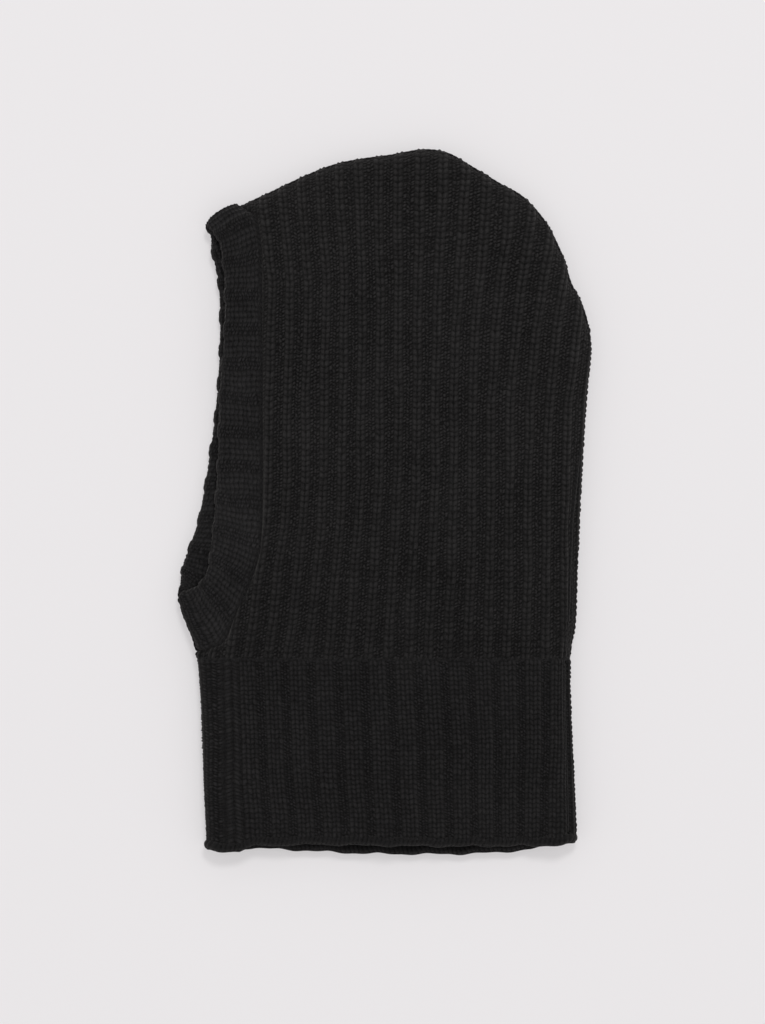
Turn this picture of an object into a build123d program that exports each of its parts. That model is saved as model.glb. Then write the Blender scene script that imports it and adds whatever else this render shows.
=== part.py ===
"""A ribbed knit balaclava, lying flat on its side as it is stored.

The crown points to -X, the neck mouth to +X, the face opening to -Y and the back of the head
to +Y. +Z is up: the wearer's left half lies on top of the right half. The origin is on the
surface it lies on, at the centre of its box. All sizes are in millimetres.
"""

import os
from math import radians, tan

from build123d import *

os.makedirs("parts", exist_ok=True)

# ---- sizes of the whole, lying flat
hood_height = 305.5  # from the neck line to the top of the crown
neck_length = 117.5  # from the neck line to the hem
neck_width = 222.5  # flat width of the neck tube
lay_height = 30.0  # two layers of knit and the air between them

# ---- the knit and its seams
fabric = 4.5  # thickness of one layer of rib
inner_roll = 2.0  # radius of the innermost skin where it rolls round a folded edge
seam_height = 2.5  # how far a seam allowance stands up inside
seam_width = 4.0  # width of a seam allowance

# ---- the outline of the hood: "up" is above the neck line, "down" below the top of the crown
chin_overhang = 13.0  # the chin tip stands this far in front of the neck
back_overhang = 12.0  # the back of the head stands this far behind the neck
overall_width = chin_overhang + neck_width + back_overhang
neck_front_up = 5.0  # where the front of the neck turns out to the chin
neck_front_round = 30.0
chin_up = 26.0  # where the chin's blunt front starts
chin_height = 28.0  # length of that front
chin_low_round = 36.0
chin_high_round = 50.0
face_hollow = 25.5  # the face edge at its most hollow, behind the chin tip
face_low_up = 82.0  # lower bend of the face edge
face_low_round = 100.0
face_middle_down = 150.0  # middle bend
face_middle_round = 300.0
face_high_down = 90.0  # upper bend
face_high_round = 220.0
forehead_down = 31.0  # the forehead's front corner
forehead_in = 12.0  # and how far behind the chin tip it lies
forehead_round = 15.0
forehead_side = 27.0  # length of the short edge from that corner to the top edge
forehead_side_round = 20.0
crown_flat = 32.0  # length of the crown's level top, and of the slope before it
crown_peak_in = 84.0  # its rear end, in front of the back of the head
crown_slope_down = 8.0
crown_slope_round = 150.0
crown_front_round = 104.0
crown_rear_round = 42.0
shoulder_down = 38.0  # the round back of the crown, half way
shoulder_in = 25.0
shoulder_round = 75.0
back_down = 90.0  # where the straight back of the head starts
back_length = 45.0  # length of that straight stretch
back_high_round = 85.0
back_low_round = 500.0
nape_up = 40.0  # where the back of the head has come in to the neck, nearly
nape_out = 3.0
neck_back_down = 20.0  # where it meets the neck, below the neck line
nape_round = 200.0

# ---- the face band and its opening
band_setback = 50.0  # the band's seam behind the chin tip
band_lean = 14.0  # how much further forward the seam starts at the forehead
band_bend_up = 66.0  # where it bends forward round the chin
band_bend_round = 90.0
band_bottom_up = 10.0  # its lowest place
band_chin_forward = 22.0  # how far it has come forward by there
band_chin_round = 30.0
opening_bottom_up = 40.0  # lowest place of the face opening above the neck line

# ---- the hem, and the label inside
hem_border = 5.5  # depth of the cast-off edge
label_length = 40.0
label_width = 22.0
label_thickness = 0.8
label_from_hem = 28.0
label_from_seam = 6.0
stitch_length = 2.4
stitch_width = 0.6
stitch_height = 0.4
stitch_pitch = 4.0
stitch_rows = 2

# ---- places worked out from the sizes
hem_x = (hood_height + neck_length) / 2
neck_x = hem_x - neck_length
crown_x = neck_x - hood_height
chin_y = -overall_width / 2
back_y = overall_width / 2
neck_front_y = chin_y + chin_overhang
neck_back_y = back_y - back_overhang
forehead_x = crown_x + forehead_down
forehead_y = chin_y + forehead_in
crown_peak_y = back_y - crown_peak_in
seam_y = chin_y + band_setback
middle_z = lay_height / 2
band_fabric = 2 * fabric  # the band is folded double
edge_roll = band_fabric + inner_roll  # radius of the outer skin round a folded edge
seam_skin = fabric + seam_height  # how deep a seam allowance reaches below the outer skin
opening_top_x = forehead_x + band_fabric
opening_bottom_x = neck_x - opening_bottom_up
band_bottom_x = neck_x - band_bottom_up
back_top_x = crown_x + back_down
back_seam_top_x = back_top_x + back_length / 2
tube_top_x = neck_x + seam_width / 2
tube_end_x = hem_x - hem_border
past = 60.0  # how far cutting bodies run past what they cut
longest_arc_share = 0.97  # of a run, for the arcs at its two ends

# ---- the corners of the outline from the front of the neck round to its back: x, y, radius
outline = [
    (neck_x - neck_front_up, neck_front_y, neck_front_round),
    (neck_x - chin_up, chin_y, chin_low_round),
    (neck_x - chin_up - chin_height, chin_y, chin_high_round),
    (neck_x - face_low_up, chin_y + face_hollow / 2, face_low_round),
    (crown_x + face_middle_down, chin_y + face_hollow, face_middle_round),
    (crown_x + face_high_down, chin_y + face_hollow, face_high_round),
    (forehead_x, forehead_y, forehead_round),
    (forehead_x, forehead_y + forehead_side, forehead_side_round),
    (crown_x + crown_slope_down, crown_peak_y - 2 * crown_flat, crown_slope_round),
    (crown_x, crown_peak_y - crown_flat, crown_front_round),
    (crown_x, crown_peak_y, crown_rear_round),
    (crown_x + shoulder_down, back_y - shoulder_in, shoulder_round),
    (back_top_x, back_y, back_high_round),
    (back_top_x + back_length, back_y, back_low_round),
    (neck_x - nape_up, neck_back_y + nape_out, nape_round),
    (neck_x + neck_back_down, neck_back_y, nape_round),
]

# ---- the corners of the band's seam, from the top edge down round the chin
band_seam = [
    (neck_x - band_bend_up, seam_y, band_bend_round),
    (band_bottom_x, seam_y - band_chin_forward, band_chin_round),
]


def fitted_radii(points, radii):
    """The radii, with the two at the ends of a run cut down where that run is too short for both."""
    runs = [after - before for before, after in zip(points, points[1:])]
    turns = [radians(runs[i].get_angle(runs[i + 1])) for i in range(len(radii))]
    fitted = list(radii)
    for i in range(len(radii) - 1):
        taken = fitted[i] * tan(turns[i] / 2) + fitted[i + 1] * tan(turns[i + 1] / 2)
        share = min(1.0, longest_arc_share * runs[i + 1].length / taken)
        fitted[i] *= share
        fitted[i + 1] *= share
    return fitted


def rounded(start, corners, end, inset):
    """Straight runs from start to end with an arc at each corner, moved to their right by inset."""
    points = [Vector(*start)] + [Vector(x, y) for x, y, radius in corners] + [Vector(*end)]
    runs = [(after - before).normalized() for before, after in zip(points, points[1:])]
    rights = [Vector(run.Y, -run.X) for run in runs]
    radii = fitted_radii(points, [radius for x, y, radius in corners])
    moved = [points[0] + rights[0] * inset]
    for i, corner in enumerate(points[1:-1]):
        share = inset / (1 + rights[i].dot(rights[i + 1]))
        moved.append(corner + (rights[i] + rights[i + 1]) * share)
        turns_right = runs[i].cross(runs[i + 1]).Z < 0
        radii[i] += -inset if turns_right else inset
    moved.append(points[-1] + rights[-1] * inset)
    return FilletPolyline(*moved, radius=radii)


def body_plan(inset):
    """Plan of hood, band and neck, set in by inset; it runs past the hem, where it is cut."""
    start = (hem_x + past, neck_front_y)
    end = (hem_x + past, neck_back_y)
    with BuildSketch(Plane.XY.offset(inset)) as plan:
        with BuildLine():
            skin = rounded(start, outline, end, inset)
            Line(skin @ 1, skin @ 0)
        make_face()
    return plan.sketch


def band_side(grow):
    """Plan of all that lies in front of the band's seam, grown over the seam by grow."""
    start = (crown_x - past, seam_y - band_lean)
    end = (band_bottom_x, neck_front_y - past)
    with BuildSketch() as plan:
        with BuildLine():
            seam = rounded(start, band_seam, end, -grow)
            Polyline(seam @ 1, (crown_x - past, neck_front_y - past), seam @ 0)
        make_face()
    return plan.sketch


def pillow(inset):
    """The whole lying body, everywhere set in from its outer skin by inset, edges rolled."""
    with BuildPart() as body:
        extrude(body_plan(inset), amount=lay_height - 2 * inset)
        rims = body.faces().filter_by(Axis.Z)
        fillet(rims.edges(), radius=edge_roll - inset)
    return body.part


def block(low, high):
    """A box from one corner to the opposite one."""
    middle = (Vector(*low) + Vector(*high)) / 2
    size = Vector(*high) - Vector(*low)
    with BuildPart() as made:
        with Locations(middle):
            Box(size.X, size.Y, size.Z)
    return made.part


def slice_between(low, high):
    """Everything from x = low to x = high."""
    return block((low, chin_y - past, -past), (high, back_y + past, lay_height + past))


def back_ridge(low, high):
    """A seam allowance standing up inside the back of the head or neck, between two x."""
    return block(
        (low, 0, middle_z - seam_width / 2),
        (high, back_y, middle_z + seam_width / 2),
    )


outer = pillow(0)
inside = pillow(fabric)
inside_seams = pillow(seam_skin)
inside_band = pillow(band_fabric)
with BuildPart() as knit_shell:
    add(outer)
    add(inside, mode=Mode.SUBTRACT)
with BuildPart() as seam_shell:
    add(inside)
    add(inside_seams, mode=Mode.SUBTRACT)
with BuildPart() as band_block:
    extrude(band_side(0), amount=lay_height)
with BuildPart() as band_reach:
    extrude(band_side(seam_width), amount=lay_height)

# ---- the hood: two halves of fisherman rib, one on the other
with BuildPart() as hood_whole:
    add(knit_shell.part)
    add(slice_between(neck_x, hem_x + 2 * past), mode=Mode.SUBTRACT)
    add(band_block.part, mode=Mode.SUBTRACT)

with BuildPart() as hood_left_panel:
    add(hood_whole.part)
    split(bisect_by=Plane.XY.offset(middle_z), keep=Keep.TOP)
hood_left_panel.part.label = "hood_left_panel"
export_step(hood_left_panel.part, "parts/hood_left_panel.step")

with BuildPart() as hood_right_panel:
    add(hood_whole.part)
    split(bisect_by=Plane.XY.offset(middle_z), keep=Keep.BOTTOM)
hood_right_panel.part.label = "hood_right_panel"
export_step(hood_right_panel.part, "parts/hood_right_panel.step")

# ---- the neck: one tube of rib, flattened
with BuildPart() as neck_rib:
    add(knit_shell.part)
    add(slice_between(neck_x, tube_end_x), mode=Mode.INTERSECT)
neck_rib.part.label = "neck_rib"
export_step(neck_rib.part, "parts/neck_rib.step")

# ---- the hem: the cast-off edge that closes the rib
with BuildPart() as hem_edge:
    add(knit_shell.part)
    add(slice_between(tube_end_x, hem_x), mode=Mode.INTERSECT)
hem_edge.part.label = "hem_edge"
export_step(hem_edge.part, "parts/hem_edge.step")

# ---- the face band: a ring of rib folded double round the opening
with BuildPart() as face_band:
    add(outer)
    add(band_block.part, mode=Mode.INTERSECT)
    add(inside_band, mode=Mode.SUBTRACT)
    add(
        block(
            (opening_top_x, chin_y - past, band_fabric),
            (opening_bottom_x, 0, lay_height - band_fabric),
        ),
        mode=Mode.SUBTRACT,
    )
face_band.part.label = "face_band"
export_step(face_band.part, "parts/face_band.step")

# ---- the seams: allowances of linked stitches that stand up inside
with BuildPart() as crown_seam:
    add(seam_shell.part)
    add(
        block(
            (crown_x, chin_y, middle_z - seam_width / 2),
            (back_seam_top_x, back_y, middle_z + seam_width / 2),
        ),
        mode=Mode.INTERSECT,
    )
    add(band_reach.part, mode=Mode.SUBTRACT)
crown_seam.part.label = "crown_seam"
export_step(crown_seam.part, "parts/crown_seam.step")

with BuildPart() as hood_back_seam:
    add(seam_shell.part)
    add(back_ridge(back_seam_top_x, neck_x - seam_width / 2), mode=Mode.INTERSECT)
hood_back_seam.part.label = "hood_back_seam"
export_step(hood_back_seam.part, "parts/hood_back_seam.step")

with BuildPart() as neck_back_seam:
    add(seam_shell.part)
    add(back_ridge(tube_top_x, tube_end_x), mode=Mode.INTERSECT)
neck_back_seam.part.label = "neck_back_seam"
export_step(neck_back_seam.part, "parts/neck_back_seam.step")

with BuildPart() as neck_linking:
    add(seam_shell.part)
    add(slice_between(neck_x - seam_width / 2, tube_top_x), mode=Mode.INTERSECT)
neck_linking.part.label = "neck_linking"
export_step(neck_linking.part, "parts/neck_linking.step")

with BuildPart() as band_linking:
    add(seam_shell.part)
    add(band_reach.part, mode=Mode.INTERSECT)
    add(band_block.part, mode=Mode.SUBTRACT)
    add(slice_between(neck_x - seam_width / 2, hem_x + 2 * past), mode=Mode.SUBTRACT)
band_linking.part.label = "band_linking"
export_step(band_linking.part, "parts/band_linking.step")

# ---- the join of the band's two ends, a ridge across its inner face at the chin
with BuildPart() as band_join:
    add(inside_band)
    add(inside_band.moved(Location((0, seam_height, 0))), mode=Mode.SUBTRACT)
    add(
        block(
            (opening_bottom_x, chin_y, middle_z - seam_width / 2),
            (band_bottom_x - seam_width, 0, middle_z + seam_width / 2),
        ),
        mode=Mode.INTERSECT,
    )
    add(band_block.part, mode=Mode.INTERSECT)
band_join.part.label = "band_join"
export_step(band_join.part, "parts/band_join.step")

# ---- a blank care label inside the back of the neck, and the stitches that hold it
label_high_x = hem_x - label_from_hem
label_high_y = neck_back_y - edge_roll - label_from_seam
label_low_x = label_high_x - label_length
label_low_y = label_high_y - label_width
label_top_z = fabric + label_thickness
with BuildPart() as care_label:
    add(block((label_low_x, label_low_y, fabric), (label_high_x, label_high_y, label_top_z)))
care_label.part.label = "care_label"
export_step(care_label.part, "parts/care_label.step")

stitches_in_row = int((label_width - stitch_length) / stitch_pitch)
row_spacing = label_length - 2 * stitch_length
with BuildPart() as label_stitches:
    with BuildSketch(Plane.XY.offset(label_top_z)):
        with Locations(((label_low_x + label_high_x) / 2, (label_low_y + label_high_y) / 2)):
            with GridLocations(row_spacing, stitch_pitch, stitch_rows, stitches_in_row):
                Rectangle(stitch_width, stitch_length)
    extrude(amount=stitch_height)
label_stitches.part.label = "label_stitches"
export_step(label_stitches.part, "parts/label_stitches.step")
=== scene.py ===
"""A black ribbed knit balaclava, lying flat on its side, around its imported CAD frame.

Lengths in this script are millimetres until a mesh is made, which is in metres. x runs from the
crown to the neck mouth, y from the face opening to the back of the head, z up.
"""

import math

import bpy
import numpy as np
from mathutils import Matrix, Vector


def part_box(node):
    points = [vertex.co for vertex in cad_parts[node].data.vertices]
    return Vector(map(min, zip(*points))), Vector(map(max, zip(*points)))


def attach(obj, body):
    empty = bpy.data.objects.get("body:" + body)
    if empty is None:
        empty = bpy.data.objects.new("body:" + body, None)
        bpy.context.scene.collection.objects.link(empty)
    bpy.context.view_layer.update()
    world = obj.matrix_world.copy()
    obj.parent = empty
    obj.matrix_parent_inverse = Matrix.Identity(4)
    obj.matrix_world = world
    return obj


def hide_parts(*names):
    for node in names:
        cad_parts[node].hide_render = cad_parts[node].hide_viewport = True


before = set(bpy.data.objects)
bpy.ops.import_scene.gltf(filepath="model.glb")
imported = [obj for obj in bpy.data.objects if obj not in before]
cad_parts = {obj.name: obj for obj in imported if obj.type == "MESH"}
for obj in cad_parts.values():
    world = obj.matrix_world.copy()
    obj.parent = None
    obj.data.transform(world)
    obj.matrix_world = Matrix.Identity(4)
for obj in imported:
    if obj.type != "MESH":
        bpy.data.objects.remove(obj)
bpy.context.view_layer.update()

MM = 0.001
FINE = 1.0
FINEST = 0.48  # spacing of the points of the finest knit
FINER = 0.6  # of the half of the hood that lies below
COARSE = 2.4  # and of the hood's inner faces

NECK_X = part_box("neck_rib")[0][0] / MM  # where the neck is linked to the hood
FABRIC = 4.5  # thickness of one layer
INNER_DEPTH = FABRIC - 1.9  # from the middle of a layer's outer relief down to its inner face

# ---- how the two layers lie
MIDDLE_Z = 10.2  # height of the folded edges
ROLL = 13.0  # how far in from the edge, in plan, a fold has levelled out
RISE = 8.2  # from the fold's middle up to where the top layer levels out
DROP = 8.3  # and down to where the under layer levels out
DOME = 8.0  # how much more the top layer rises in the middle
DOME_REACH = 38.0  # over how long a way in it gains 63% of that rise
DOME_LOST = 0.35  # share of the dome that is lost at the mouth of the neck
EDGE_BULGE = 0.9  # how far the folded edge is moved out, for the knit's own bulge
BAND_WIDE = 30.0  # how far out from the band's seam its two runs have drawn together
TOP_EDGE_DOWN = 2.6  # how far the upper run of the face band sags onto the lower one
UNDER_EDGE_UP = 2.3  # and how far the lower one curls up to it
MOUTH_DOWN = 6.8  # how far the top layer sinks at the mouth of the neck
MOUTH_UP = 4.2  # and how far the under layer curls up

# ---- the knit: the height of a course and the width of a rib
HOOD_COURSE = 3.48
HOOD_RIB = 11.3
NECK_COURSE = 2.95
NECK_RIB = 15.9
BAND_COURSE = 2.6
BAND_RIB = 20.6
HOOD_HALF_WALE = 0.235  # half of the raised wale, as a share of the hood's rib
RAISED_SHARE = 0.64  # share of the neck's and band's rib that the raised wales take

# ---- the seams
BACK_GROOVE = 3.6  # the seam down the back lies this far inside the folded edge
GROOVE_DEPTH = 1.1  # and the knit sinks there by this much
SEAM_STITCH = 3.4  # length of a stitch of the crown's, the hood's and the band's seams
LINKING = 1.5  # half the thickness of the neck's and the band's linking


# ------------------------------------------------------------------ curves and distance fields
def smooth_run(points, step=1.5, count=None):
    """Points along the smooth curve through the given ones: a step apart, or so many to a span."""
    p = np.array(points, float)
    p = np.vstack([2 * p[0] - p[1], p, 2 * p[-1] - p[-2]])
    made = []
    for a, b, c, d in zip(p, p[1:], p[2:], p[3:]):
        n = count or max(2, int(np.linalg.norm(c - b) / step))
        t = (np.arange(n) / n)[:, None]
        made.append(
            0.5 * (2 * b + (c - a) * t + (2 * a - 5 * b + 4 * c - d) * t**2
                   + (3 * b - a - 3 * c + d) * t**3)
        )
    made.append(p[-2][None])
    return np.vstack(made)


# The folded and seamed edge, from the neck's front round the chin, then from the band's top
# corner round the crown to the back of the neck. Between them the face opening has no fold, so
# the line swings well out there.
FOLD_EDGE = [
    (300, -107.4), (211, -105.6), (171, -107.2), (141, -108.0), (115, -109.2), (100, -110.4),
    (90, -111.6), (81, -113.8), (73, -117.6), (66, -120.6), (57, -122.4), (50, -123.4),
    (38, -131), (10, -160), (-60, -178), (-130, -150), (-153, -119),
    (-164, -107.6), (-172, -103.4), (-177.6, -96), (-178.6, -89), (-177.2, -83.6),
    (-182, -73), (-200.6, -31), (-207.2, 6), (-210.2, 24), (-208.2, 38), (-201, 51),
    (-189.5, 70), (-182, 83), (-167, 96.4), (-147, 106.4), (-131, 111.4), (-119, 117.6),
    (-106, 121.6), (-94, 122.9), (-80, 122.2), (-64, 120.6), (-20, 117.6), (37, 115.0),
    (69, 113.8), (88, 111.4), (107, 110.8), (136, 111.8), (171, 113.6), (196, 114.6),
    (211, 114.0), (300, 113.4),
]
BEYOND_HEM = [(330, 60), (330, -60)]  # closes the line well past the neck


class Field:
    """Distance inside a closed line, with its slope, on a lattice."""

    def __init__(self, line, low=(-236.0, -196.0), high=(262.0, 140.0), cell=2.0):
        self.low = np.array(low)
        self.cell = cell
        xs = np.arange(low[0], high[0] + cell, cell)
        ys = np.arange(low[1], high[1] + cell, cell)
        gx, gy = np.meshgrid(xs, ys, indexing="ij")
        points = np.column_stack([gx.ravel(), gy.ravel()])
        run = np.roll(line, -1, 0) - line
        length = (run**2).sum(1) + 1e-12
        best = np.full(len(points), 1e18)
        inside = np.zeros(len(points), bool)
        for (ax, ay), (rx, ry), ll in zip(line, run, length):
            dx, dy = points[:, 0] - ax, points[:, 1] - ay
            t = np.clip((dx * rx + dy * ry) / ll, 0, 1)
            best = np.minimum(best, (dx - t * rx) ** 2 + (dy - t * ry) ** 2)
            if ry:
                crosses = ((ay > points[:, 1]) != (ay + ry > points[:, 1])) & (
                    dx < rx * dy / ry
                )
                inside ^= crosses
        signed = np.where(inside, 1, -1) * np.sqrt(best)
        self.value = signed.reshape(gx.shape)
        self.slope = np.gradient(self.value, cell)

    def at(self, x, y):
        """(distance, slope along x, slope along y) at each place."""
        i = np.clip((x - self.low[0]) / self.cell, 0, self.value.shape[0] - 1.001)
        j = np.clip((y - self.low[1]) / self.cell, 0, self.value.shape[1] - 1.001)
        i0, j0 = i.astype(int), j.astype(int)
        fi, fj = i - i0, j - j0

        def mix(a):
            return (
                (a[i0, j0] * (1 - fi) + a[i0 + 1, j0] * fi) * (1 - fj)
                + (a[i0, j0 + 1] * (1 - fi) + a[i0 + 1, j0 + 1] * fi) * fj
            )

        return mix(self.value), mix(self.slope[0]), mix(self.slope[1])


# Across the face opening, where the dome of the top layer ends.
FACE_EDGE = [
    (44, -122), (30, -112), (0, -103), (-60, -98), (-130, -95.5), (-155, -101),
]
# The band's seam, from the top edge of the forehead down and round the chin.
SEAM = smooth_run([
    (-205, -89), (-188, -87), (-178, -84.6), (-172, -78.5), (-160, -74.6), (-130, -73.6),
    (-60, -73.3), (0, -73.2), (26, -73.8), (36, -76), (53, -82.5), (68, -89.2), (81, -94.8),
    (86.5, -101), (88.5, -110), (89, -128),
])
FRONT = FOLD_EDGE.index((50, -123.4)) + 1
CROWN = FOLD_EDGE.index((-164, -107.6))
FOLDS = Field(smooth_run(FOLD_EDGE + BEYOND_HEM))
FOLDS.value += EDGE_BULGE
DOMES = Field(smooth_run(FOLD_EDGE[:FRONT] + FACE_EDGE + FOLD_EDGE[CROWN:] + BEYOND_HEM))
BANDS = Field(np.vstack([SEAM, [(89, -190), (-230, -190), (-230, -89)]]))

# The quarter ellipse of a fold by length along it: how far in, and how much of the rise.
_turn = np.linspace(0, math.pi / 2, 400)
_in, _up = ROLL * (1 - np.cos(_turn)), RISE * np.sin(_turn)
_run = np.concatenate([[0], np.cumsum(np.hypot(np.diff(_in), np.diff(_up)))])
FOLD_CLOTH = _run[-1]  # cloth used by one side of a fold
SPARE = FOLD_CLOTH - ROLL  # how far the cloth's own outline stands outside the plan's


def soft_waves(x, y, side):
    """The slow unevenness of cloth that has been laid down by hand."""
    a = np.sin(x / 31.0 + 1.3 * side) * np.cos(y / 23.0 + 0.7)
    b = np.sin((x + 1.7 * y) / 47.0 + 2.1) + 0.6 * np.sin((x - y) / 19.0 + side)
    return 0.45 * a + 0.35 * b


def part_way(value, start, length):
    """0 up to start, then straight up to 1 over length."""
    return np.clip((value - start) / length, 0, 1)


def lay(x, y, side):
    """Where a place of the flat cloth lies: side 1 is the top layer's outer face, -1 the under's."""
    depth, sx, sy = FOLDS.at(x, y)
    cloth = depth + SPARE
    inward = np.interp(cloth, _run, _in, left=0.0)
    level = np.interp(cloth, _run, _up / RISE)
    beyond = cloth > FOLD_CLOTH
    shift = np.where(beyond, 0.0, SPARE - (cloth - inward))
    slope = np.maximum(np.hypot(sx, sy), 1e-6)
    px = x + sx / slope * shift
    py = y + sy / slope * shift
    level = np.where(cloth < 0, cloth / 7.0, level)
    closing = part_way(BANDS.at(px, py)[0], 0, BAND_WIDE) ** 1.5 * np.clip(level, 0, 1)
    if side > 0:
        mouth = 1 - DOME_LOST * part_way(px, 150, 60)
        within = np.maximum(DOMES.at(px, py)[0] - ROLL * 0.6, 0)
        rise = DOME * mouth * (1 - np.exp(-within / DOME_REACH))
        z = MIDDLE_Z + RISE * level + rise
        z = z + soft_waves(px, py, 1) * part_way(depth, 4, 30)
        slack = 1.5 * np.sin(py / 17.0 + 0.8) + 0.8 * np.sin(py / 9.5 + 2.0) - MOUTH_DOWN
        slack = slack * part_way(px, 120, 90) ** 1.5
        z = z + slack * part_way(depth, 6, 25) - TOP_EDGE_DOWN * closing
    else:
        curl = part_way(px, 170, 38) ** 2 * part_way(depth, 6, 25)
        z = MIDDLE_Z - DROP * level + UNDER_EDGE_UP * closing + MOUTH_UP * curl
    return np.stack([px, py, z], -1)


def lay_with_normal(x, y, side):
    """lay(), with the outward normal."""
    e = 0.6
    here = lay(x, y, side)
    along = lay(x + e, y, side) - lay(x - e, y, side)
    across = lay(x, y + e, side) - lay(x, y - e, side)
    normal = np.cross(along, across) * side
    normal /= np.maximum(np.linalg.norm(normal, axis=-1, keepdims=True), 1e-9)
    return here, normal


# ------------------------------------------------------------------------- knitted relief
rng = np.random.default_rng(11)
UNEVEN = rng.random((97, 211))


def uneven(wale, course):
    """A fixed random number from -1 to 1 for each stitch."""
    return 2 * UNEVEN[wale.astype(int) % 97, course.astype(int) % 211] - 1


def strand(phase):
    """Round tops with a tight crease between them, once per whole number of phase, 0 to 1."""
    f = phase - np.floor(phase)
    return np.sqrt(np.maximum(1 - (2 * f - 1) ** 2, 0))


def swell(phase):
    """A soft rise and fall, once per whole number of phase, 0 to 1."""
    return 0.5 - 0.5 * np.cos(2 * math.pi * phase)


def edge_of(distance, soft):
    """1 where distance is below zero, 0 above, over a soft step."""
    return 1 / (1 + np.exp(np.clip(distance / soft, -40, 40)))


def knit_wale(a, b, wale, lean=0.34):
    """Plain stitches, 0 to 1. a runs from -1 to 1 across the wale, b counts courses upwards."""
    side = np.abs(a)
    leg = swell(side * 0.96 + 0.02)  # two legs side by side
    phase = b - lean * side + 0.14 * uneven(wale, np.floor(b))
    body = strand(phase) ** 1.3
    loose = 1 + 0.26 * uneven(wale + 7, np.floor(phase) + 50 * (a > 0))
    return (0.34 + 0.66 * leg) * (0.06 + 0.94 * body) * loose


def sunk_wale(a, b, wale, columns=3, rows=1.7):
    """The sunken side of the rib: short ends of yarn, staggered from one column to the next."""
    across = (a + 1) / 2 * columns
    column = np.clip(np.floor(across), 0, columns - 1)
    lean = 0.4 * (across - column - 0.5) * np.where(column % 2 > 0, 1, -1)
    phase = rows * b + 0.5 * column + lean + 0.35 * uneven(wale * 3 + column, np.floor(rows * b))
    loose = 1 + 0.55 * uneven(wale * 5 + column, np.floor(phase))
    return (0.2 + 0.8 * swell(across)) * swell(phase) ** 1.3 * loose


def hood_relief(k, b):
    """(height, tone) of fisherman rib, whose tone is painted shade: light on each stitch's crest and
    dark in the creases between stitches; k counts ribs, whole at the middle of a raised wale.
    """
    wale = np.floor(k + 0.5) + 40
    u = k - np.floor(k + 0.5)
    half = HOOD_HALF_WALE
    up = knit_wale(np.clip(u / half, -1, 1), b, wale)
    v = np.where(u > 0, u - 0.5, u + 0.5) / (0.5 - half)
    down = sunk_wale(np.clip(v, -1, 1), b, wale)
    raised = edge_of(np.abs(u) - half, 0.022)
    height = -0.55 + 0.66 * raised + raised * 1.05 * up + (1 - raised) * 0.8 * down
    return height, raised * (0.02 + 0.80 * up) + (1 - raised) * (0.08 + 1.08 * down)


def rib_relief(k, b, step, shade):
    """(height, tone) of rib with two raised wales; k is whole at the middle of the two. The tone is
    painted shade, light on each stitch's crest and dark in the creases between stitches; shade sets
    how strongly the sunk wales' stitches are painted.
    """
    rib = np.floor(k + 0.5)
    u = k - rib
    half = RAISED_SHARE / 2
    at = np.clip((u + half) / RAISED_SHARE * 2, 0, 1.9999)
    which = np.floor(at)
    up = knit_wale(2 * (at - which) - 1, b, (rib + 40) * 4 + which)
    v = np.where(u > 0, u - 0.5, u + 0.5) / (0.5 - half)
    down = sunk_wale(np.clip(v, -1, 1), b, rib + 23)
    raised = edge_of(np.abs(u) - half, 0.02)
    height = -0.65 + step * raised + raised * 1.0 * up + (1 - raised) * 0.7 * down
    return height, raised * (0.02 + 0.80 * up) + (1 - raised) * (0.07 + shade * down)


def wander(a, b, reach):
    """A small, slow, repeatable unevenness, by which ribs and courses drift."""
    return reach * (np.sin(a * 1.7 + b / 13.0) + np.sin(a * 0.6 - b / 29.0 + 1.0)
                    + 0.6 * np.sin(a * 3.1 + b / 6.3 + 2.0))


def settle(height, away, reach):
    """The knit's height levels out towards a linking seam, which is so far away."""
    near = np.clip(away / reach, 0, 1)
    return height * (0.55 + 0.45 * near) - 0.1 * (1 - near) ** 3


# ----------------------------------------------------------------------------- the meshes
def normals_of(points, wrap_rows=False, wrap_columns=False):
    """Unit normals of a grid of points, row direction crossed with column direction."""

    def along(axis, wrap):
        if wrap:
            return np.roll(points, -1, axis) - np.roll(points, 1, axis)
        return np.gradient(points, axis=axis)

    normal = np.cross(along(0, wrap_rows), along(1, wrap_columns))
    return normal / np.maximum(np.linalg.norm(normal, axis=-1, keepdims=True), 1e-9)


class Patch:
    """A grid of points in mm, with the painted tone of each point (painted highlight on crests,
    painted shade in creases and seams, which the wool's colour follows), and the quads between them.
    """

    def __init__(self, points, painted_shading, keep=None, wrap_rows=False, wrap_columns=False, flip=False):
        rows, columns = painted_shading.shape
        r, c = np.meshgrid(
            np.arange(rows if wrap_rows else rows - 1),
            np.arange(columns if wrap_columns else columns - 1),
            indexing="ij",
        )
        corners = [(r, c), (r + 1, c), (r + 1, c + 1), (r, c + 1)]
        if flip:
            corners = corners[::-1]
        faces = np.stack([(i % rows) * columns + j % columns for i, j in corners], -1)
        places = np.stack([np.stack([j / columns, i / rows], -1) for i, j in corners], -2)
        faces, places = faces.reshape(-1, 4), places.reshape(-1, 4, 2)
        if keep is not None:
            whole = keep.ravel()[faces].all(1)
            faces, places = faces[whole], places[whole]
        used, self.faces = np.unique(faces, return_inverse=True)
        self.faces = self.faces.reshape(-1, 4)
        self.points = points.reshape(-1, 3)[used]
        self.painted_shading = painted_shading.ravel()[used]
        self.places = places


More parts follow.
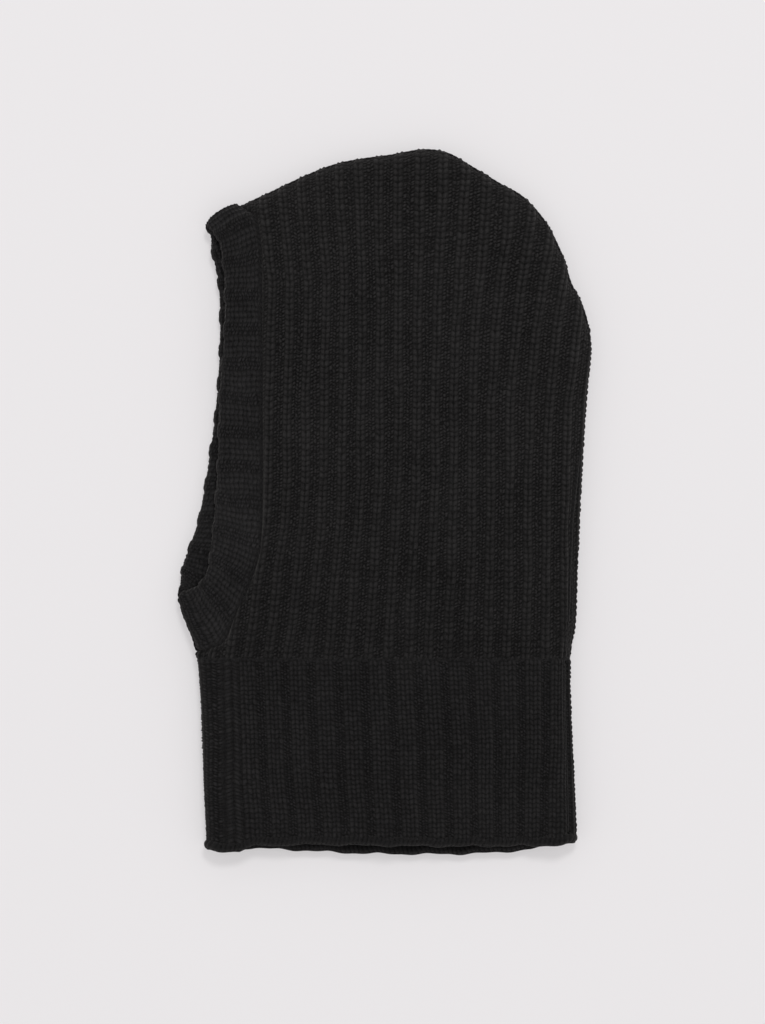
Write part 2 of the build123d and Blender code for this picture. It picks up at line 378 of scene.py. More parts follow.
def make_mesh(name, patches, material, nodes):
    """One object from its patches, which rides on the part and stands for the named CAD nodes."""
    counts = np.cumsum([0] + [len(p.points) for p in patches])
    points = np.concatenate([p.points for p in patches]) * MM
    faces = np.concatenate([p.faces + n for p, n in zip(patches, counts)])
    painted_shading = np.concatenate([p.painted_shading for p in patches])
    share = 1 / len(patches)
    places = np.concatenate(
        [(p.places * 0.98 + 0.01) * (1, share) + (0, i * share) for i, p in enumerate(patches)]
    )
    mesh = bpy.data.meshes.new(name)
    mesh.vertices.add(len(points))
    mesh.vertices.foreach_set("co", points.astype(np.float32).ravel())
    mesh.loops.add(faces.size)
    mesh.loops.foreach_set("vertex_index", faces.astype(np.int32).ravel())
    mesh.polygons.add(len(faces))
    mesh.polygons.foreach_set("loop_start", np.arange(0, faces.size, 4, dtype=np.int32))
    mesh.polygons.foreach_set("loop_total", np.full(len(faces), 4, np.int32))
    mesh.update(calc_edges=True)
    mesh.shade_smooth()
    unwrapped = mesh.uv_layers.new(name="OFBake")
    unwrapped.data.foreach_set("uv", places.astype(np.float32).ravel())
    # each point's painted tone: painted highlight on the crests, painted shade in the creases and
    # seams
    kept = mesh.attributes.new("painted_shading", "FLOAT", "POINT")
    kept.data.foreach_set("value", painted_shading.astype(np.float32))
    mesh.materials.append(material)
    made = bpy.data.objects.new(name, mesh)
    bpy.context.scene.collection.objects.link(made)
    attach(made, "root")
    for node in nodes:
        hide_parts(node)
    return made


# ---- where the hood's ribs run: the middle of chosen ribs at chosen x, as y
RIB_X = [-220, -190, -174, -160, -131, -102, -59, -16, 13, 42, 70, 94]
RIB_LINES = {
    0: [-74, -73, -71.5, -69.7, -66.2, -66.7, -68.3, -68.6, -70.1, -74.2, -77.1, -81],
    7: [8.8, 8.8, 8.6, 8.6, 8.7, 8.6, 8.7, 8.5, 7.2, 5.5, 3.8, 2.6],
    11: [63, 61.6, 60.5, 59.8, 57.1, 54.7, 52.7, 52.6, 52.3, 52.1, 51.1, 50.4],
    15: [121, 119, 116.5, 114.0, 107.5, 103.2, 98.9, 97.8, 97.0, 97.0, 96.6, 96.0],
}
BESIDE_BAND = 10.9  # the width of the ribs in front of rib 0
HOOD_RIBS = (-4.7, 18.5)  # the first and the last rib, past the edges that cut them
HOOD_START_X = -222.0
TUCKED = 2.4  # how far the hood's end goes down under the neck's linking
NECKWARD_SHADE_FROM, NECKWARD_SHADE = -40.0, 0.22  # from this x to the neck line the hood is painted darker by this share, painted shade


def rib_y(k, x):
    """y of rib k, which may be a fraction, at x."""
    known = sorted(RIB_LINES)
    lines = [np.interp(x, RIB_X, RIB_LINES[r]) for r in known]
    y = lines[0] + (k - known[0]) * BESIDE_BAND
    for (ra, a), (rb, b) in zip(zip(known, lines), zip(known[1:], lines[1:])):
        t = (k - ra) / (rb - ra)
        y = np.where((k >= ra) & (k < rb), a + (b - a) * t, y)
    gap = (lines[-1] - lines[-2]) / (known[-1] - known[-2])
    return np.where(k >= known[-1], lines[-1] + (k - known[-1]) * gap, y)


def seam_dip(away):
    """How far the knit sinks beside a linked seam, by distance from it."""
    return 3.0 * (1 - np.clip(away / 3.2, 0, 1)) ** 2


def hood_patch(side, cell, depth_below, relief_share):
    """One face of one half of the hood: its outer face, or a smoother one that much deeper."""
    ribs = np.arange(*HOOD_RIBS, cell / HOOD_RIB)
    x = np.linspace(HOOD_START_X, NECK_X + 0.5, int((NECK_X - HOOD_START_X) / cell))
    k, xx = np.meshgrid(ribs, x)
    y = rib_y(k + wander(k, xx, 0.018), xx)
    depth = FOLDS.at(xx, y)[0] + SPARE
    beside = -BANDS.at(xx, y)[0]
    keep = (depth > -0.7) & (beside > -0.8)  # a little past the folded edge and the band's seam
    base, normal = lay_with_normal(xx, y, side)
    courses = (NECK_X - xx) / HOOD_COURSE + wander(xx / 9, y * 1.3, 0.12)
    height, tone = hood_relief(k if side > 0 else -k, courses)
    height = settle(height, NECK_X - xx, 2.2)
    groove = GROOVE_DEPTH * np.exp(-(((depth - BACK_GROOVE - SPARE) / 0.8) ** 2))
    groove = groove * part_way(xx, -40, 50) * ((y > 60) & (side > 0))
    dip = seam_dip(beside)
    tucked = TUCKED * part_way(xx, NECK_X - 0.3, 0.8)
    shown = (height - groove) * relief_share - dip - tucked - depth_below
    # painted shade: the knit is darker where it sinks beside the band's seam and in the groove by the
    # back seam
    tone = tone * (1 - 0.5 * np.minimum(dip + groove, 1.5) / 1.5)
    # painted shade, darker towards the neck line
    tone = tone * (1 - NECKWARD_SHADE * part_way(xx, NECKWARD_SHADE_FROM, NECK_X - NECKWARD_SHADE_FROM))
    return Patch(base + normal * shown[..., None], tone, keep, flip=(side > 0) != (depth_below > 0))


def hood_cut_area():
    """Flat area of one half of the hood, in square millimetres."""
    x, y = np.meshgrid(np.arange(-220.0, NECK_X, 1.0), np.arange(-140.0, 140.0, 1.0))
    return float(np.sum((FOLDS.at(x, y)[0] + SPARE > 0) & (BANDS.at(x, y)[0] < 0)))


def build_hood(name, side, material, node):
    """One half of the hood: side 1 is the left half, on top, and -1 the right one."""
    outer = hood_patch(side, (FINEST if side > 0 else FINER) * FINE, 0.0, 1.0)
    inner = hood_patch(side, COARSE, INNER_DEPTH, -0.35)
    return make_mesh(name, [outer, inner], material, [node])


# ---- the neck: where its ribs run, the middle of chosen ribs at chosen x, as y
NECK_RIB_X = [94, 104, 151, 188, 212]
NECK_LINES = {
    -1: [-99, -99, -98.5, -98, -98],
    -0.5: [-89, -88.6, -87.8, -86.7, -86.4],
    0: [-81.5, -81, -79.5, -77, -76.4],
    2: [-51.4, -51.2, -50, -46.8, -46],
    4: [-19.6, -19.4, -17.6, -15, -14],
    8: [43.6, 44.2, 46.4, 47, 47.4],
    12: [104.6, 104.2, 103.6, 103.2, 103],
}
FRONT_PHASE, BACK_PHASE = -1.6, 13.0  # the two folds, counted in ribs across the top layer
UNDER_RIBS = 15.4  # ribs across the under layer
AROUND = UNDER_RIBS + BACK_PHASE - FRONT_PHASE  # ribs all the way round the tube
SEAM_PHASE = 12.52  # where the seam down the back of the neck lies
NECK_HIGH = 113.0  # about the length of the neck, which sets how many rows its mesh has
HEM_AT = 0.983  # how far along the tube the cast-off edge lies
WIDE_WALE, WIDE_HALF = -0.60, 0.23  # the wide wale near the front: its middle and half its width
TURNED, TURNED_HALF = -1.3, 0.4  # the knit that turns over the front fold, likewise


def fold_y(x, which):
    """Cloth y at the front (0) or back (1) fold of the neck."""
    line = [(94, -111.2), (104, -110.0), (115, -109.2), (141, -108.0), (171, -107.2), (212, -105.6)]
    if which:
        line = [(94, 111.0), (107, 110.8), (136, 111.8), (171, 113.6), (196, 114.6), (212, 114.0)]
    xs, ys = np.array(line).T
    return np.interp(x, xs, ys) + (SPARE if which else -SPARE)


def neck_y(k, x):
    """y of the neck's rib phase k at x, on the top layer."""
    known = sorted(NECK_LINES)
    phases = [FRONT_PHASE] + known + [BACK_PHASE]
    lines = [np.interp(x, NECK_RIB_X, NECK_LINES[r]) for r in known]
    lines = [fold_y(x, 0)] + lines + [fold_y(x, 1)]
    y = lines[0]
    for ra, a, rb, b in zip(phases, lines, phases[1:], lines[1:]):
        y = np.where(k >= ra, a + (b - a) * (k - ra) / (rb - ra), y)
    return y


HEM_X = 207.0  # close to the hem, where the search for its line begins
# The line of the hem, as (y, x), on the top layer and on the under one.
TOP_HEM = [(-113, 208.4), (-104, 208.8), (-86, 209.2), (-78, 206.0), (-40, 205.2), (0, 205.6),
           (40, 206.2), (90, 206.2), (104, 205.2), (119, 204.4)]
UNDER_HEM = [(-113, 208.4), (-100, 207.6), (-70, 208.0), (-45, 209.2), (-20, 210.6), (10, 211.2),
             (45, 211.2), (70, 210.2), (88, 208.4), (104, 205.6), (119, 204.4)]


def hem_end(y, side):
    """x of the hem at y, a little wavy."""
    xs, ys = np.array(TOP_HEM if side > 0 else UNDER_HEM).T
    return np.interp(y, xs, ys) - 1.0 + 0.45 * np.sin(y / 5.1 + side) + 0.25 * np.sin(y / 2.3)


def tube_surface(phase, along):
    """Places on the flattened tube, before its relief.

    phase counts ribs round it, and along runs from 0 at the neck line to 1 at the hem. Gives the
    places, the x and y of the flat cloth there, and which of them are on the top layer.
    """
    top = phase < BACK_PHASE
    under = np.clip((phase - BACK_PHASE) / UNDER_RIBS, 0, 1)
    x = NECK_X + along * (HEM_X - NECK_X)
    for _ in range(2):
        y = np.where(top, neck_y(phase, x), fold_y(x, 1) + (fold_y(x, 0) - fold_y(x, 1)) * under)
        end = np.where(top, hem_end(y, 1), hem_end(y, -1))
        x = NECK_X + along * (end - NECK_X)
    return np.where(top[..., None], lay(x, y, 1), lay(x, y, -1)), x, y, top


def tube_normal(phase, along, reach):
    """Outward normal of the tube, by its slope over so many ribs to each side."""
    side = tube_surface(phase + reach, along)[0] - tube_surface(phase - reach, along)[0]
    down = tube_surface(phase, along + 0.004)[0] - tube_surface(phase, along - 0.004)[0]
    normal = np.cross(down, side)
    return normal / np.maximum(np.linalg.norm(normal, axis=-1, keepdims=True), 1e-9)


def phases_round(count):
    """So many places evenly round the tube."""
    return FRONT_PHASE + AROUND * np.arange(count) / count


def neck_relief(phase, courses):
    """(height, tone) of the neck, with its wide wale near the front and its seam at the back; the
    tone is painted shade on the stitches, as in rib_relief.
    """
    height, tone = rib_relief(phase, courses, step=0.62, shade=1.05)
    off = phase - WIDE_WALE
    wide = knit_wale(np.clip(off / WIDE_HALF, -1, 1), courses * 1.25, phase * 0 + 33, lean=0.8)
    here = edge_of(np.abs(off) - WIDE_HALF, 0.03)
    height = height + here * (-0.1 + 0.95 * wide - height)
    tone = tone + here * (0.04 + 0.76 * wide - tone)
    off = phase - TURNED
    turned = sunk_wale(np.clip(off / TURNED_HALF, -1, 1), courses, phase * 0 + 60, columns=6)
    here = edge_of(np.abs(off) - TURNED_HALF, 0.02)
    height = height + here * (-0.35 + 0.75 * turned - height)
    tone = tone + here * (0.08 + 1.0 * turned - tone)
    # painted shade in the seam's groove, and a painted highlight on the rim beside it
    seam = np.exp(-(((phase - SEAM_PHASE) / 0.05) ** 2))
    rim = np.exp(-(((phase - SEAM_PHASE + 0.11) / 0.05) ** 2))
    return height - 1.2 * seam + 0.4 * rim, tone * (1 - 0.45 * seam) + 0.18 * rim


def build_neck(material):
    """One closed skin: the tube's outer face, its rim at the hem, its inner face, its upper rim."""
    columns = int(AROUND * NECK_RIB / (FINEST * 1.08 * FINE))
    phases = phases_round(columns)
    outer = np.linspace(0, 1, int(NECK_HIGH / (FINEST * FINE)))
    bend = np.linspace(0, math.pi, 9)[1:-1]
    inner = np.linspace(1, 0, 50)
    along = np.concatenate([outer, 1 + 0.012 * np.sin(bend), inner])
    deep = np.concatenate([outer * 0, (1 - np.cos(bend)) / 2, inner * 0 + 1])
    k, a = np.meshgrid(phases, along)
    d = np.broadcast_to(deep[:, None], k.shape)
    base, x, y, top = tube_surface(k, a)
    normal = tube_normal(k, a, 0.4 / NECK_RIB)
    height, tone = neck_relief(k + wander(x / 21, y * 0, 0.012),
                               (x - NECK_X) / NECK_COURSE + wander(x / 9, y * 1.3, 0.12))
    height = settle(height, x - NECK_X, 2.6)
    shown = height * (1 - 1.25 * d) - d * INNER_DEPTH
    points = base + normal * shown[..., None]
    patch = Patch(points, tone, wrap_rows=True, wrap_columns=True)
    return make_mesh("neck_knit", [patch], material, ["neck_rib"])


# ------------------------------------------------------------------- yarn that follows a path
CHAIN_SIDES = 14


def chain(path, outward, half_wide, half_high, stitch, closed=False, bump=0.28, cell=0.55):
    """A row of linked stitches along a path: a flattened tube, bulging and creased at each stitch."""
    path, outward = np.asarray(path, float), np.asarray(outward, float)
    if closed:
        path, outward = np.vstack([path, path[:1]]), np.vstack([outward, outward[:1]])
    length = np.concatenate([[0], np.cumsum(np.linalg.norm(np.diff(path, axis=0), axis=1))])
    n = max(8, int(length[-1] / (cell * FINE)))
    s = np.linspace(0, length[-1], n + 1)[: n if closed else n + 1]
    p = np.stack([np.interp(s, length, path[:, i]) for i in range(3)], -1)
    up = np.stack([np.interp(s, length, outward[:, i]) for i in range(3)], -1)
    run = np.roll(p, -1, 0) - np.roll(p, 1, 0) if closed else np.gradient(p, axis=0)
    run /= np.maximum(np.linalg.norm(run, axis=1, keepdims=True), 1e-9)
    across = np.cross(run, up)
    across /= np.maximum(np.linalg.norm(across, axis=1, keepdims=True), 1e-9)
    up = np.cross(across, run)
    count = max(1, round(length[-1] / stitch))
    turn = np.linspace(0, 2 * math.pi, CHAIN_SIDES + 1)[:-1]
    t, ss = np.meshgrid(turn, s / length[-1] * count)
    twist = ss + 0.35 * np.cos(t)
    full = 1 - bump + bump * strand(twist) * 1.35
    if not closed:
        full = full * np.sqrt(np.clip(np.minimum(ss, count - ss) * 2.2 + 0.02, 0, 1))
    points = (
        p[:, None]
        + across[:, None] * (half_wide * np.cos(t) * full)[..., None]
        + up[:, None] * (half_high * np.sin(t) * full)[..., None]
    )
    # painted tone: a painted highlight on each stitch's bulge, painted shade in the creases between
    # stitches
    return Patch(points, 0.02 + 0.6 * strand(twist), wrap_rows=closed, wrap_columns=True, flip=True)


def build_hem(material):
    """The cast-off edge: a flat chain of stitches round the end of the neck."""
    phases = phases_round(620)
    at = np.full(phases.shape, HEM_AT)
    base = tube_surface(phases, at)[0]
    normal = tube_normal(phases, at, 0.03)
    patch = chain(base - normal * 1.2, normal, half_wide=2.7, half_high=2.4, stitch=2.7,
                  closed=True, bump=0.3)
    patch.painted_shading = patch.painted_shading * 0.8  # a little darker than the seams
    return make_mesh("hem_cast_off", [patch], material, ["hem_edge"])


def edge_path(low_index, high_index, inset_by):
    """Places along the folded edge of the hood, moved in onto the top layer by inset_by(x)."""
    line = smooth_run(FOLD_EDGE[low_index:high_index + 1])
    depth, sx, sy = FOLDS.at(line[:, 0], line[:, 1])
    slope = np.maximum(np.hypot(sx, sy), 1e-6)
    inset = inset_by(line[:, 0]) - SPARE
    x = line[:, 0] + sx / slope * (inset - depth)
    y = line[:, 1] + sy / slope * (inset - depth)
    return lay_with_normal(x, y, 1)


def build_seams(material):
    """The linked seams, in the order crown, back of the hood, back of the neck, neck, band."""
    top = FOLD_EDGE.index((-177.2, -83.6))
    turn = FOLD_EDGE.index((-106, 121.6))
    nape = FOLD_EDGE.index((88, 111.4))
    on_edge = 0.9  # how far along the cloth from the very edge the crown's seam lies
    made = []

    def seam(name, node, path, outward, sunk, thick, stitch, closed=False):
        """One seam, sunk that far into the knit; thick is half its thickness."""
        patch = chain(path - outward * sunk, outward, thick, thick, stitch, closed)
        made.append(make_mesh(name, [patch], material, [node]))

    def staying(x):
        return x * 0 + on_edge

    def moving_in(x):
        return on_edge + (BACK_GROOVE + SPARE - on_edge) * part_way(x, -100, 110) ** 1.5

    path, outward = edge_path(top, turn, staying)
    seam("crown_seam_yarn", "crown_seam", path, outward,
         sunk=0.5, thick=1.15, stitch=SEAM_STITCH)
    path, outward = edge_path(turn, nape, moving_in)
    seam("hood_back_seam_yarn", "hood_back_seam", path, outward,
         sunk=0.7, thick=1.1, stitch=SEAM_STITCH)

    along = np.linspace(0.02, 0.95, 90)
    phases = np.full(90, SEAM_PHASE)
    base = tube_surface(phases, along)[0]
    aside = tube_surface(phases + 0.03, along)[0] - base
    down = np.gradient(base, axis=0)
    normal = np.cross(down, aside)
    normal /= np.linalg.norm(normal, axis=-1, keepdims=True)
    seam("neck_back_seam_yarn", "neck_back_seam", base, normal,
         sunk=1.35, thick=0.95, stitch=NECK_COURSE)

    phases = phases_round(400)
    start = np.zeros(phases.shape)
    base = tube_surface(phases, start)[0]
    aside = tube_surface(phases + 0.03, start)[0] - tube_surface(phases - 0.03, start)[0]
    normal = np.cross(np.array([1.0, 0, 0]), aside)
    normal /= np.linalg.norm(normal, axis=-1, keepdims=True)
    seam("neck_linking_yarn", "neck_linking", base, normal,
         sunk=1.45, thick=LINKING, stitch=3.6, closed=True)

    inside = FOLDS.at(SEAM[:, 0], SEAM[:, 1])[0] + SPARE > 0.3
    line = SEAM[inside]
    over, up = lay_with_normal(line[:, 0], line[:, 1], 1)
    below, down = lay_with_normal(line[:, 0], line[:, 1], -1)
    path = np.vstack([over, below[::-1]])
    outward = np.vstack([up, down[::-1]])
    seam("band_linking_yarn", "band_linking", path, outward,
         sunk=3.3, thick=LINKING, stitch=SEAM_STITCH, closed=True)
    return made


# ------------------------------------------------------------------------------ the face band
# Lines across the band, each from its seam to its folded edge: on the top layer and the under
# one. The first and last lie on the folds at the forehead and the chin, where the layers meet.
ACROSS = [
    ((-183.6, -85), (-168.4, -111.6), (-168.4, -111.6)),
    ((-172, -78.5), (-160, -101.5), (-161, -105.6)),
    ((-158, -74.4), (-150, -97.8), (-150, -103.6)),
    ((-130, -73.6), (-128, -95.6), (-128, -99.4)),
    ((-97, -73.4), (-97, -96.2), (-97, -98.8)),
    ((-60, -73.3), (-62, -98.9), (-62, -100.8)),
    ((-20, -73.2), (-22, -100.0), (-22, -105.6)),
    ((10, -73.4), (5, -101.8), (8, -110.8)),
    ((32, -75), (22, -103.4), (25, -116.2)),
    ((48, -80.5), (34, -105.0), (36, -120.4)),
    ((62, -86.5), (43, -107.5), (44, -123.0)),
    ((75, -92.3), (49, -111.5), (50, -125.0)),
    ((84, -98), (52, -117.0), (54, -127.0)),
    ((88.2, -106), (54, -122.5), (56, -128.0)),
    ((91, -117.5), (57, -128.0), (57, -128.0)),
]
BAND_HALF = 3.1  # half the thickness of the doubled band, at its folded edge
BAND_CUT = 66.0  # width of the band's strip, before it is folded
FIRST_BAND_RIB_X = -134.4  # where the band's ribs are counted from


def across_lines(side):
    """The band's seam and its folded edge, in step with each other."""
    seams = smooth_run([seam for seam, top, under in ACROSS], count=24)
    edges = smooth_run([top if side > 0 else under for seam, top, under in ACROSS], count=24)
    return seams, edges


def band_rows(side, cell):
    """Evenly spaced lines across one layer of the band.

    Gives their ends on the seam and on the edge, how far along each one lies, and how far
    along the first counted rib does.
    """
    seams, edges = across_lines(side)
    middle = (seams + edges) / 2
    run = np.concatenate([[0], np.cumsum(np.linalg.norm(np.diff(middle, axis=0), axis=1))])
    s = np.linspace(0, run[-1], int(run[-1] / cell))

    def at(points):
        return np.stack([np.interp(s, run, points[:, i]) for i in range(2)], -1)

    return at(seams), at(edges), s, np.interp(FIRST_BAND_RIB_X, middle[:, 0], run)


def build_band(material):
    """The doubled band, as one strip folded over its free edge, and the join of its two ends."""
    cell = FINEST * 1.1 * FINE
    top_seam, top_edge, top_run, start = band_rows(1, cell)
    low_seam, low_edge, low_run, _ = band_rows(-1, cell)
    first = -start / BAND_RIB
    top_phase = first + top_run / BAND_RIB
    whole = round(top_phase[-1] - first + low_run[-1] / BAND_RIB)
    low_phase = first + whole - low_run / low_run[-1] * (first + whole - top_phase[-1])
    low_seam, low_edge, low_phase = low_seam[::-1][1:-1], low_edge[::-1][1:-1], low_phase[::-1][1:-1]
    columns = int(BAND_CUT / cell)
    c = np.linspace(0, 1, columns)

    def surface(seam, edge, side):
        """The strip from its seam out to the fold and back below, with the length along it."""
        wide = np.linalg.norm(edge - seam, axis=1)[:, None]
        flat = wide - BAND_HALF
        bend = math.pi * BAND_HALF
        s = c[None] * (2 * flat + bend)
        turn = np.clip((s - flat) / BAND_HALF, 0, math.pi)
        out = np.where(s < flat, s, np.where(s > flat + bend, 2 * flat + bend - s,
                                             flat + BAND_HALF * np.sin(turn)))
        deep = BAND_HALF * (1 - np.cos(turn))
        p = seam[:, None] + (edge - seam)[:, None] * (out / wide)[..., None]
        base, normal = lay_with_normal(p[..., 0], p[..., 1], side)
        deep = deep + seam_dip(np.where(s < flat, s, 9.0))
        return base - normal * deep[..., None], s

    top, top_s = surface(top_seam, top_edge, 1)
    low, low_s = surface(low_seam, low_edge, -1)
    points = np.concatenate([top, low])
    s = np.concatenate([top_s, low_s])
    phase = np.broadcast_to(np.concatenate([top_phase, low_phase])[:, None], s.shape)
    around = np.arange(len(s))[:, None] * cell
    ribs = phase + wander(s / 9, around, 0.016)
    courses = s / BAND_COURSE + wander(s / 7, around, 0.15)
    height, tone = rib_relief(ribs, courses, step=0.6, shade=1.0)
    normal = normals_of(points, wrap_rows=True)
    points = points + normal * height[..., None]
    patch = Patch(points, tone, wrap_rows=True)
    band = make_mesh("face_band_knit", [patch], material, ["face_band"])

    # the join of the band's two ends, across its inner face at the chin
    row = len(top) - 1
    inner = slice(int(columns * 0.60), int(columns * 0.93))
    join = chain(points[row, inner] + normal[row, inner] * 0.6, normal[row, inner], 1.2, 1.0, 3.2)
    return band, make_mesh("band_join_yarn", [join], material, ["band_join"])


# ------------------------------------------------------------------------------ the care label
def build_label(cloth, thread):
    """The blank label inside the neck, and the stitches along its two ends."""
    (x0, y0, z0), (x1, y1, _) = (np.array(c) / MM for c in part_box("care_label"))
    wide, high = 90, 60
    u, v = np.linspace(0, 1, wide), np.linspace(0, 1, high)
    uu, vv = np.meshgrid(u, v)
    x, y = x0 + (x1 - x0) * uu, y0 + (y1 - y0) * vv
    curl = 0.5 * (2 * uu - 1) ** 4 + 0.35 * np.sin(uu * 5 + vv * 2) * np.sin(math.pi * vv) ** 2
    weave = 0.035 * np.sin(x * 9) * np.sin(y * 9)
    over = np.stack([x, y, z0 + 0.75 + curl + weave], -1)
    under = np.stack([x, y, z0 + 0.3 + curl], -1)
    still = np.zeros(uu.shape)
    across, up = np.arange(wide), np.arange(1, high - 1)
    rim_u = np.concatenate([across, up * 0 + wide - 1, across[::-1], up * 0])
    rim_v = np.concatenate([across * 0, up, across * 0 + high - 1, up[::-1]])
    rim = np.stack([over[rim_v, rim_u], under[rim_v, rim_u]])
    patches = [
        Patch(over, still, flip=True),
        Patch(under, still),
        Patch(rim, np.zeros(rim.shape[:2]), wrap_columns=True),
    ]
    label = make_mesh("care_label_cloth", patches, cloth, ["care_label"])

    (sx0, sy0, _), (sx1, sy1, _) = (np.array(c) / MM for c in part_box("label_stitches"))
    rows = []
    for x in (sx0 + 0.3, sx1 - 0.3):
        for y in np.arange(sy0 + 1.2, sy1, 4.0):
            t = np.linspace(0, 1, 14)
            end = (2 * (x - x0) / (x1 - x0) - 1) ** 4 * 0.5
            z = z0 + 0.72 + end + 0.28 * np.sin(math.pi * t)
            p = np.stack([x + 0 * t, y + 2.6 * (t - 0.5), z], -1)
            rows.append(chain(p, np.tile((0, 0, 1.0), (14, 1)), 0.26, 0.22, 0.8, cell=0.2))
    stitches = make_mesh("label_stitch_thread", rows, thread, ["label_stitches"])
    return label, stitches


# -------------------------------------------------------------------------- materials
def wool(name, dark, light):
    """Matt black wool. Its colour follows each point's painted tone, a painted highlight on the
    crests and painted shade in the creases and seams, with fine fibres and slow patches of random
    tone; fibres and plied yarn in the bump.
    """
    material = bpy.data.materials.new(name)
    material.use_nodes = True
    tree = material.node_tree
    nodes, links = tree.nodes, tree.links
    shader = nodes["Principled BSDF"]
    shader.inputs["Roughness"].default_value = 0.92
    shader.inputs["Specular IOR Level"].default_value = 0.05
    shader.inputs["Sheen Weight"].default_value = 0.16
    shader.inputs["Sheen Roughness"].default_value = 0.55
    shader.inputs["Sheen Tint"].default_value = (0.55, 0.53, 0.52, 1)

    place = nodes.new("ShaderNodeTexCoord")
    # the per-point painted highlight and painted shade, set when the meshes are made
    painted_shading = nodes.new("ShaderNodeAttribute")
    painted_shading.attribute_name = "painted_shading"

    def noise(scale, detail, rough=0.6):
        n = nodes.new("ShaderNodeTexNoise")
        n.inputs["Scale"].default_value = scale
        n.inputs["Detail"].default_value = detail
        n.inputs["Roughness"].default_value = rough
        links.new(place.outputs["Object"], n.inputs["Vector"])
        return n.outputs["Fac"]

    def maths(kind, a, b, clamp=False):
        n = nodes.new("ShaderNodeMath")
        n.operation = kind
        n.use_clamp = clamp
        for socket, v in zip(n.inputs, (a, b)):
            if isinstance(v, (int, float)):
                socket.default_value = v
            else:
                links.new(v, socket)
        return n.outputs[0]

    fibres = noise(1500, 4, 0.75)
    patches = noise(34, 2)
    hairs = maths("MULTIPLY", maths("SUBTRACT", fibres, 0.5), 2.0)
    tone = maths("ADD", painted_shading.outputs["Fac"], hairs)
    tone = maths("ADD", tone, maths("MULTIPLY", maths("SUBTRACT", patches, 0.5), 0.35), True)
    ramp = nodes.new("ShaderNodeValToRGB")
    ramp.color_ramp.elements[0].color = (*dark, 1)
    ramp.color_ramp.elements[1].color = (*light, 1)
    links.new(tone, ramp.inputs["Fac"])
    links.new(ramp.outputs["Color"], shader.inputs["Base Color"])

    plies = nodes.new("ShaderNodeTexVoronoi")
    plies.inputs["Scale"].default_value = 1100
    links.new(place.outputs["Object"], plies.inputs["Vector"])
    twist = maths("MULTIPLY", plies.outputs["Distance"], 0.5)
    fuzz = maths("ADD", maths("MULTIPLY", fibres, 0.6), twist)
    bump = nodes.new("ShaderNodeBump")
    bump.inputs["Strength"].default_value = 0.55
    bump.inputs["Distance"].default_value = 0.0004
    links.new(fuzz, bump.inputs["Height"])
    links.new(bump.outputs["Normal"], shader.inputs["Normal"])
    return material


def label_material(name, color, roughness, scale):
    """Woven tape or thread: a fine uneven weave in the colour and the bump."""
    material = bpy.data.materials.new(name)
    material.use_nodes = True
    nodes, links = material.node_tree.nodes, material.node_tree.links
    shader = nodes["Principled BSDF"]
    shader.inputs["Roughness"].default_value = roughness
    place = nodes.new("ShaderNodeTexCoord")
    weave = nodes.new("ShaderNodeTexNoise")
    weave.inputs["Scale"].default_value = scale
    weave.inputs["Detail"].default_value = 3
    links.new(place.outputs["Object"], weave.inputs["Vector"])
    ramp = nodes.new("ShaderNodeValToRGB")
    ramp.color_ramp.elements[0].color = (*[c * 0.86 for c in color], 1)
    ramp.color_ramp.elements[1].color = (*color, 1)
    links.new(weave.outputs["Fac"], ramp.inputs["Fac"])
    links.new(ramp.outputs["Color"], shader.inputs["Base Color"])
    bump = nodes.new("ShaderNodeBump")
    bump.inputs["Strength"].default_value = 0.3
    bump.inputs["Distance"].default_value = 0.0002
    links.new(weave.outputs["Fac"], bump.inputs["Height"])
    links.new(bump.outputs["Normal"], shader.inputs["Normal"])
    return material


hood_wool = wool("hood_wool", (0.0010, 0.0010, 0.0010), (0.0207, 0.0200, 0.0200))
neck_wool = wool("neck_wool", (0.0008, 0.0008, 0.0008), (0.0161, 0.0156, 0.0159))
band_wool = wool("band_wool", (0.0010, 0.0010, 0.0011), (0.0217, 0.0211, 0.0215))
seam_wool = wool("seam_wool", (0.0009, 0.0009, 0.0010), (0.0155, 0.0151, 0.0153))

left = build_hood("hood_left_knit", 1, hood_wool, "hood_left_panel")
right = build_hood("hood_right_knit", -1, hood_wool, "hood_right_panel")
neck = build_neck(neck_wool)
hem = build_hem(neck_wool)
band, join = build_band(band_wool)
crown_seam, hood_seam, neck_seam, neck_linking, band_linking = build_seams(seam_wool)
label, stitches = build_label(
    label_material("label_satin", (0.62, 0.61, 0.58), 0.55, 900),
    label_material("label_yarn", (0.02, 0.02, 0.022), 0.8, 2500),
)

# ---- the flat area of one half of the hood, in square metres
hood_area = hood_cut_area() * MM**2


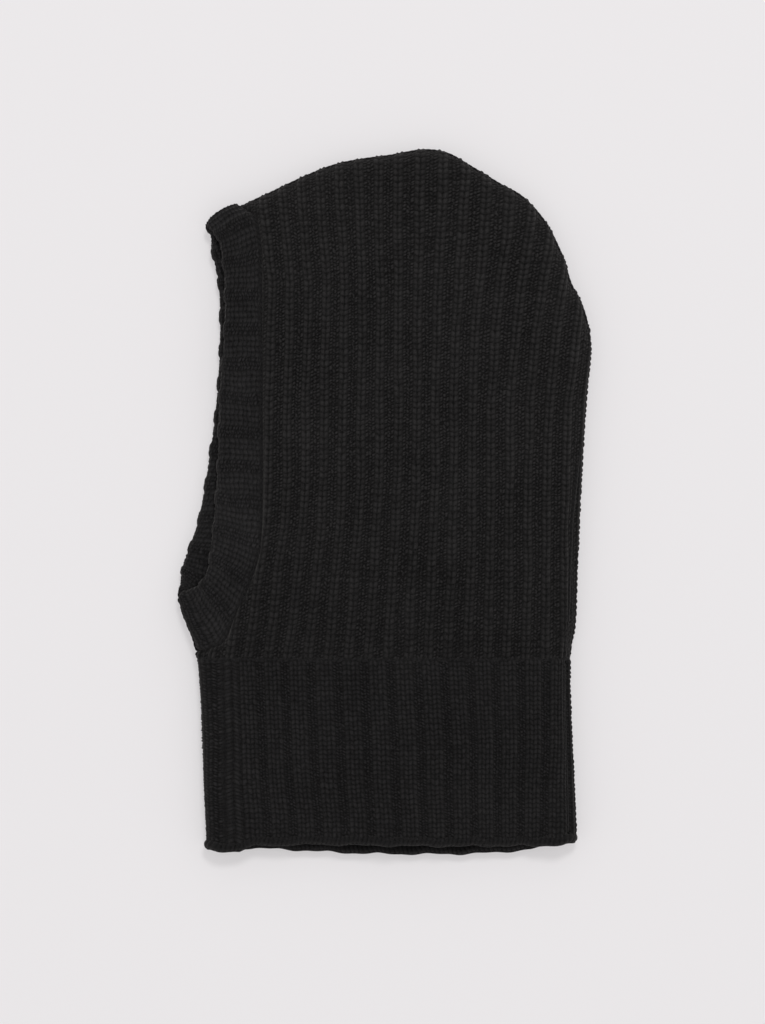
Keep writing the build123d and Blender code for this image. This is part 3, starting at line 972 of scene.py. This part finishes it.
# ---------------------------------------------------------------------------- the studio
VIEW_LENGTH = 614.4  # what the picture's long side spans at the height of the folded edges
VIEW_MIDDLE = (6.0, -0.6)
PAPER = (0.831, 0.815, 0.823, 1)  # the backdrop's colour, and the tint of the floor's own light


def make_studio():
    """Pale floor, soft light from the crown's side, and the camera straight overhead."""
    floor = bpy.data.meshes.new("floor")
    reach = 60.0  # metres, so that low views see nothing below it
    floor.from_pydata(
        [(-reach, -reach, 0), (reach, -reach, 0), (reach, reach, 0), (-reach, reach, 0)],
        [],
        [(0, 1, 2, 3)],
    )
    ground = bpy.data.objects.new("floor", floor)
    bpy.context.scene.collection.objects.link(ground)
    paper = bpy.data.materials.new("paper")
    paper.use_nodes = True
    shader = paper.node_tree.nodes["Principled BSDF"]
    shader.inputs["Base Color"].default_value = (0.36, 0.353, 0.3565, 1)
    shader.inputs["Emission Color"].default_value = PAPER
    shader.inputs["Emission Strength"].default_value = 0.496
    shader.inputs["Roughness"].default_value = 0.9
    shader.inputs["Specular IOR Level"].default_value = 0.1
    floor.materials.append(paper)

    world = bpy.data.worlds.new("studio")
    world.use_nodes = True
    world.node_tree.nodes["Background"].inputs["Color"].default_value = PAPER
    world.node_tree.nodes["Background"].inputs["Strength"].default_value = 1.0
    bpy.context.scene.world = world

    def lamp(name, place, size, watts):
        data = bpy.data.lights.new(name, "AREA")
        data.shape = "SQUARE"
        data.size = size
        data.energy = watts
        made = bpy.data.objects.new(name, data)
        made.location = place
        made.rotation_mode = "QUATERNION"
        made.rotation_quaternion = (-Vector(place)).to_track_quat("-Z", "Y")
        bpy.context.scene.collection.objects.link(made)

    lamp("key", (-2.4, 0.5, 4.4), 1.0, 92.0)

    camera = bpy.data.cameras.new("camera")
    camera.lens = 135.0
    camera.clip_end = 200.0
    away = VIEW_LENGTH * MM * camera.lens / camera.sensor_width
    eye = bpy.data.objects.new("camera", camera)
    eye.location = (VIEW_MIDDLE[0] * MM, VIEW_MIDDLE[1] * MM, MIDDLE_Z * MM + away)
    eye.rotation_euler = (0, 0, math.radians(90))
    bpy.context.scene.collection.objects.link(eye)
    bpy.context.scene.camera = eye
    bpy.context.scene.view_settings.view_transform = "Standard"


make_studio()
